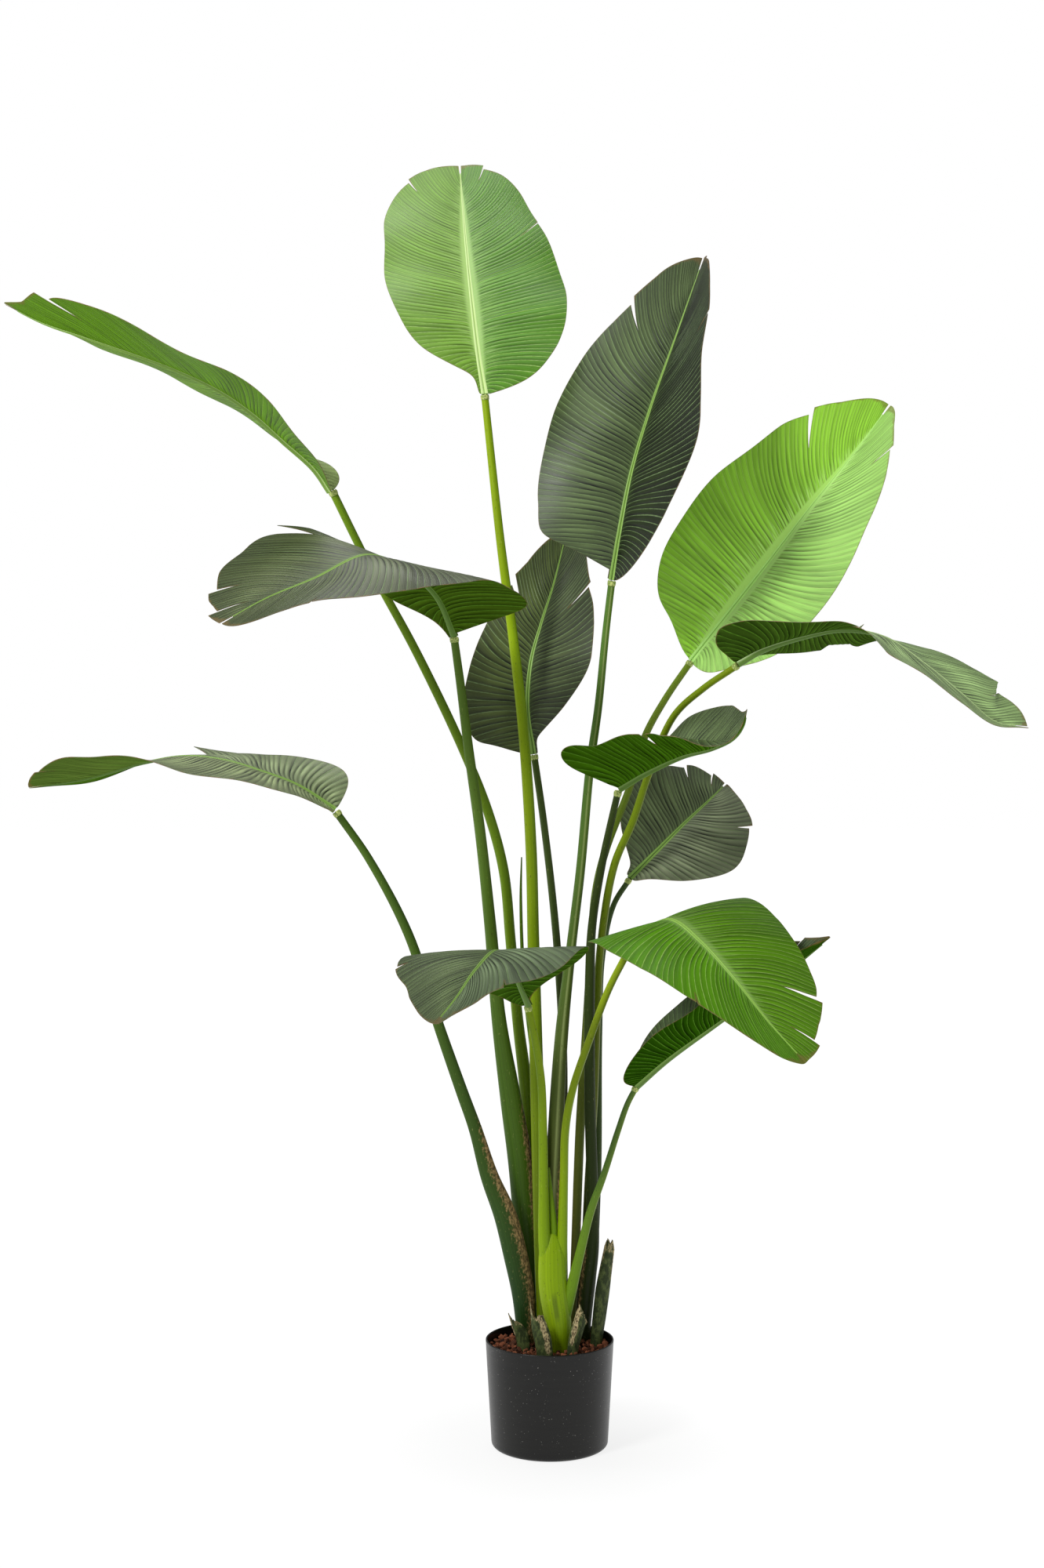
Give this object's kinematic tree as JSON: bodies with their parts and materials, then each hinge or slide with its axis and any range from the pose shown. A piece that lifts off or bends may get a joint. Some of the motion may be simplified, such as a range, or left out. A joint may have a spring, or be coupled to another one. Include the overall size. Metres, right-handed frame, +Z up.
{
  "type": "potted bird of paradise",
  "caption": "Tall potted bird of paradise: broad paddle blades on long petioles fan out of a round black nursery pot topped with lava granules.",
  "frame": {"origin": "centre of the pot's flat foot, level with the floor it stands on", "axes": "+Z up along the pot's axis, front of the plant toward -Y, +X to the right of someone facing it"},
  "size_m": [1.4838, 0.7607, 2.0145],
  "materials": {
    "pot": "matte black, lightly scuffed",
    "soil": "dark potting soil, peat and bark",
    "granules": "rough red-brown lava granules",
    "petiole_dark": "satin dark green plant skin",
    "petiole_green": "satin green plant skin",
    "petiole_bright": "satin yellow-green plant skin",
    "blade_old": "leathery, semi-gloss, ribbed by parallel veins",
    "blade_young": "smooth, semi-gloss, fine parallel veins",
    "stump": "mottled green with dry brown torn edges"
  },
  "bodies": {
    "root": {"pot": "pot", "soil": "soil", "granules": "granules", "shoot": "petiole_bright", "petiole_01": "petiole_bright", "petiole_02": "petiole_green", "petiole_03": "petiole_bright", "petiole_04": "petiole_green", "petiole_05": "petiole_green", "petiole_06": "petiole_green", "petiole_07": "petiole_dark", "petiole_08": "petiole_dark", "petiole_09": "petiole_dark", "petiole_10": "petiole_dark", "spear": "petiole_green", "stump_01": "stump", "stump_02": "stump", "stump_03": "stump", "stump_04": "stump", "blade_01": "blade_young", "blade_02": "blade_old", "blade_03": "blade_young", "blade_04": "blade_old", "blade_05": "blade_young", "blade_06": "blade_old", "blade_07": "blade_old", "blade_08": "blade_old", "blade_09": "blade_old", "blade_10": "blade_old", "blade_11": "blade_old", "blade_12": "blade_young", "blade_13": "blade_old"}
  },
  "joints": []
}
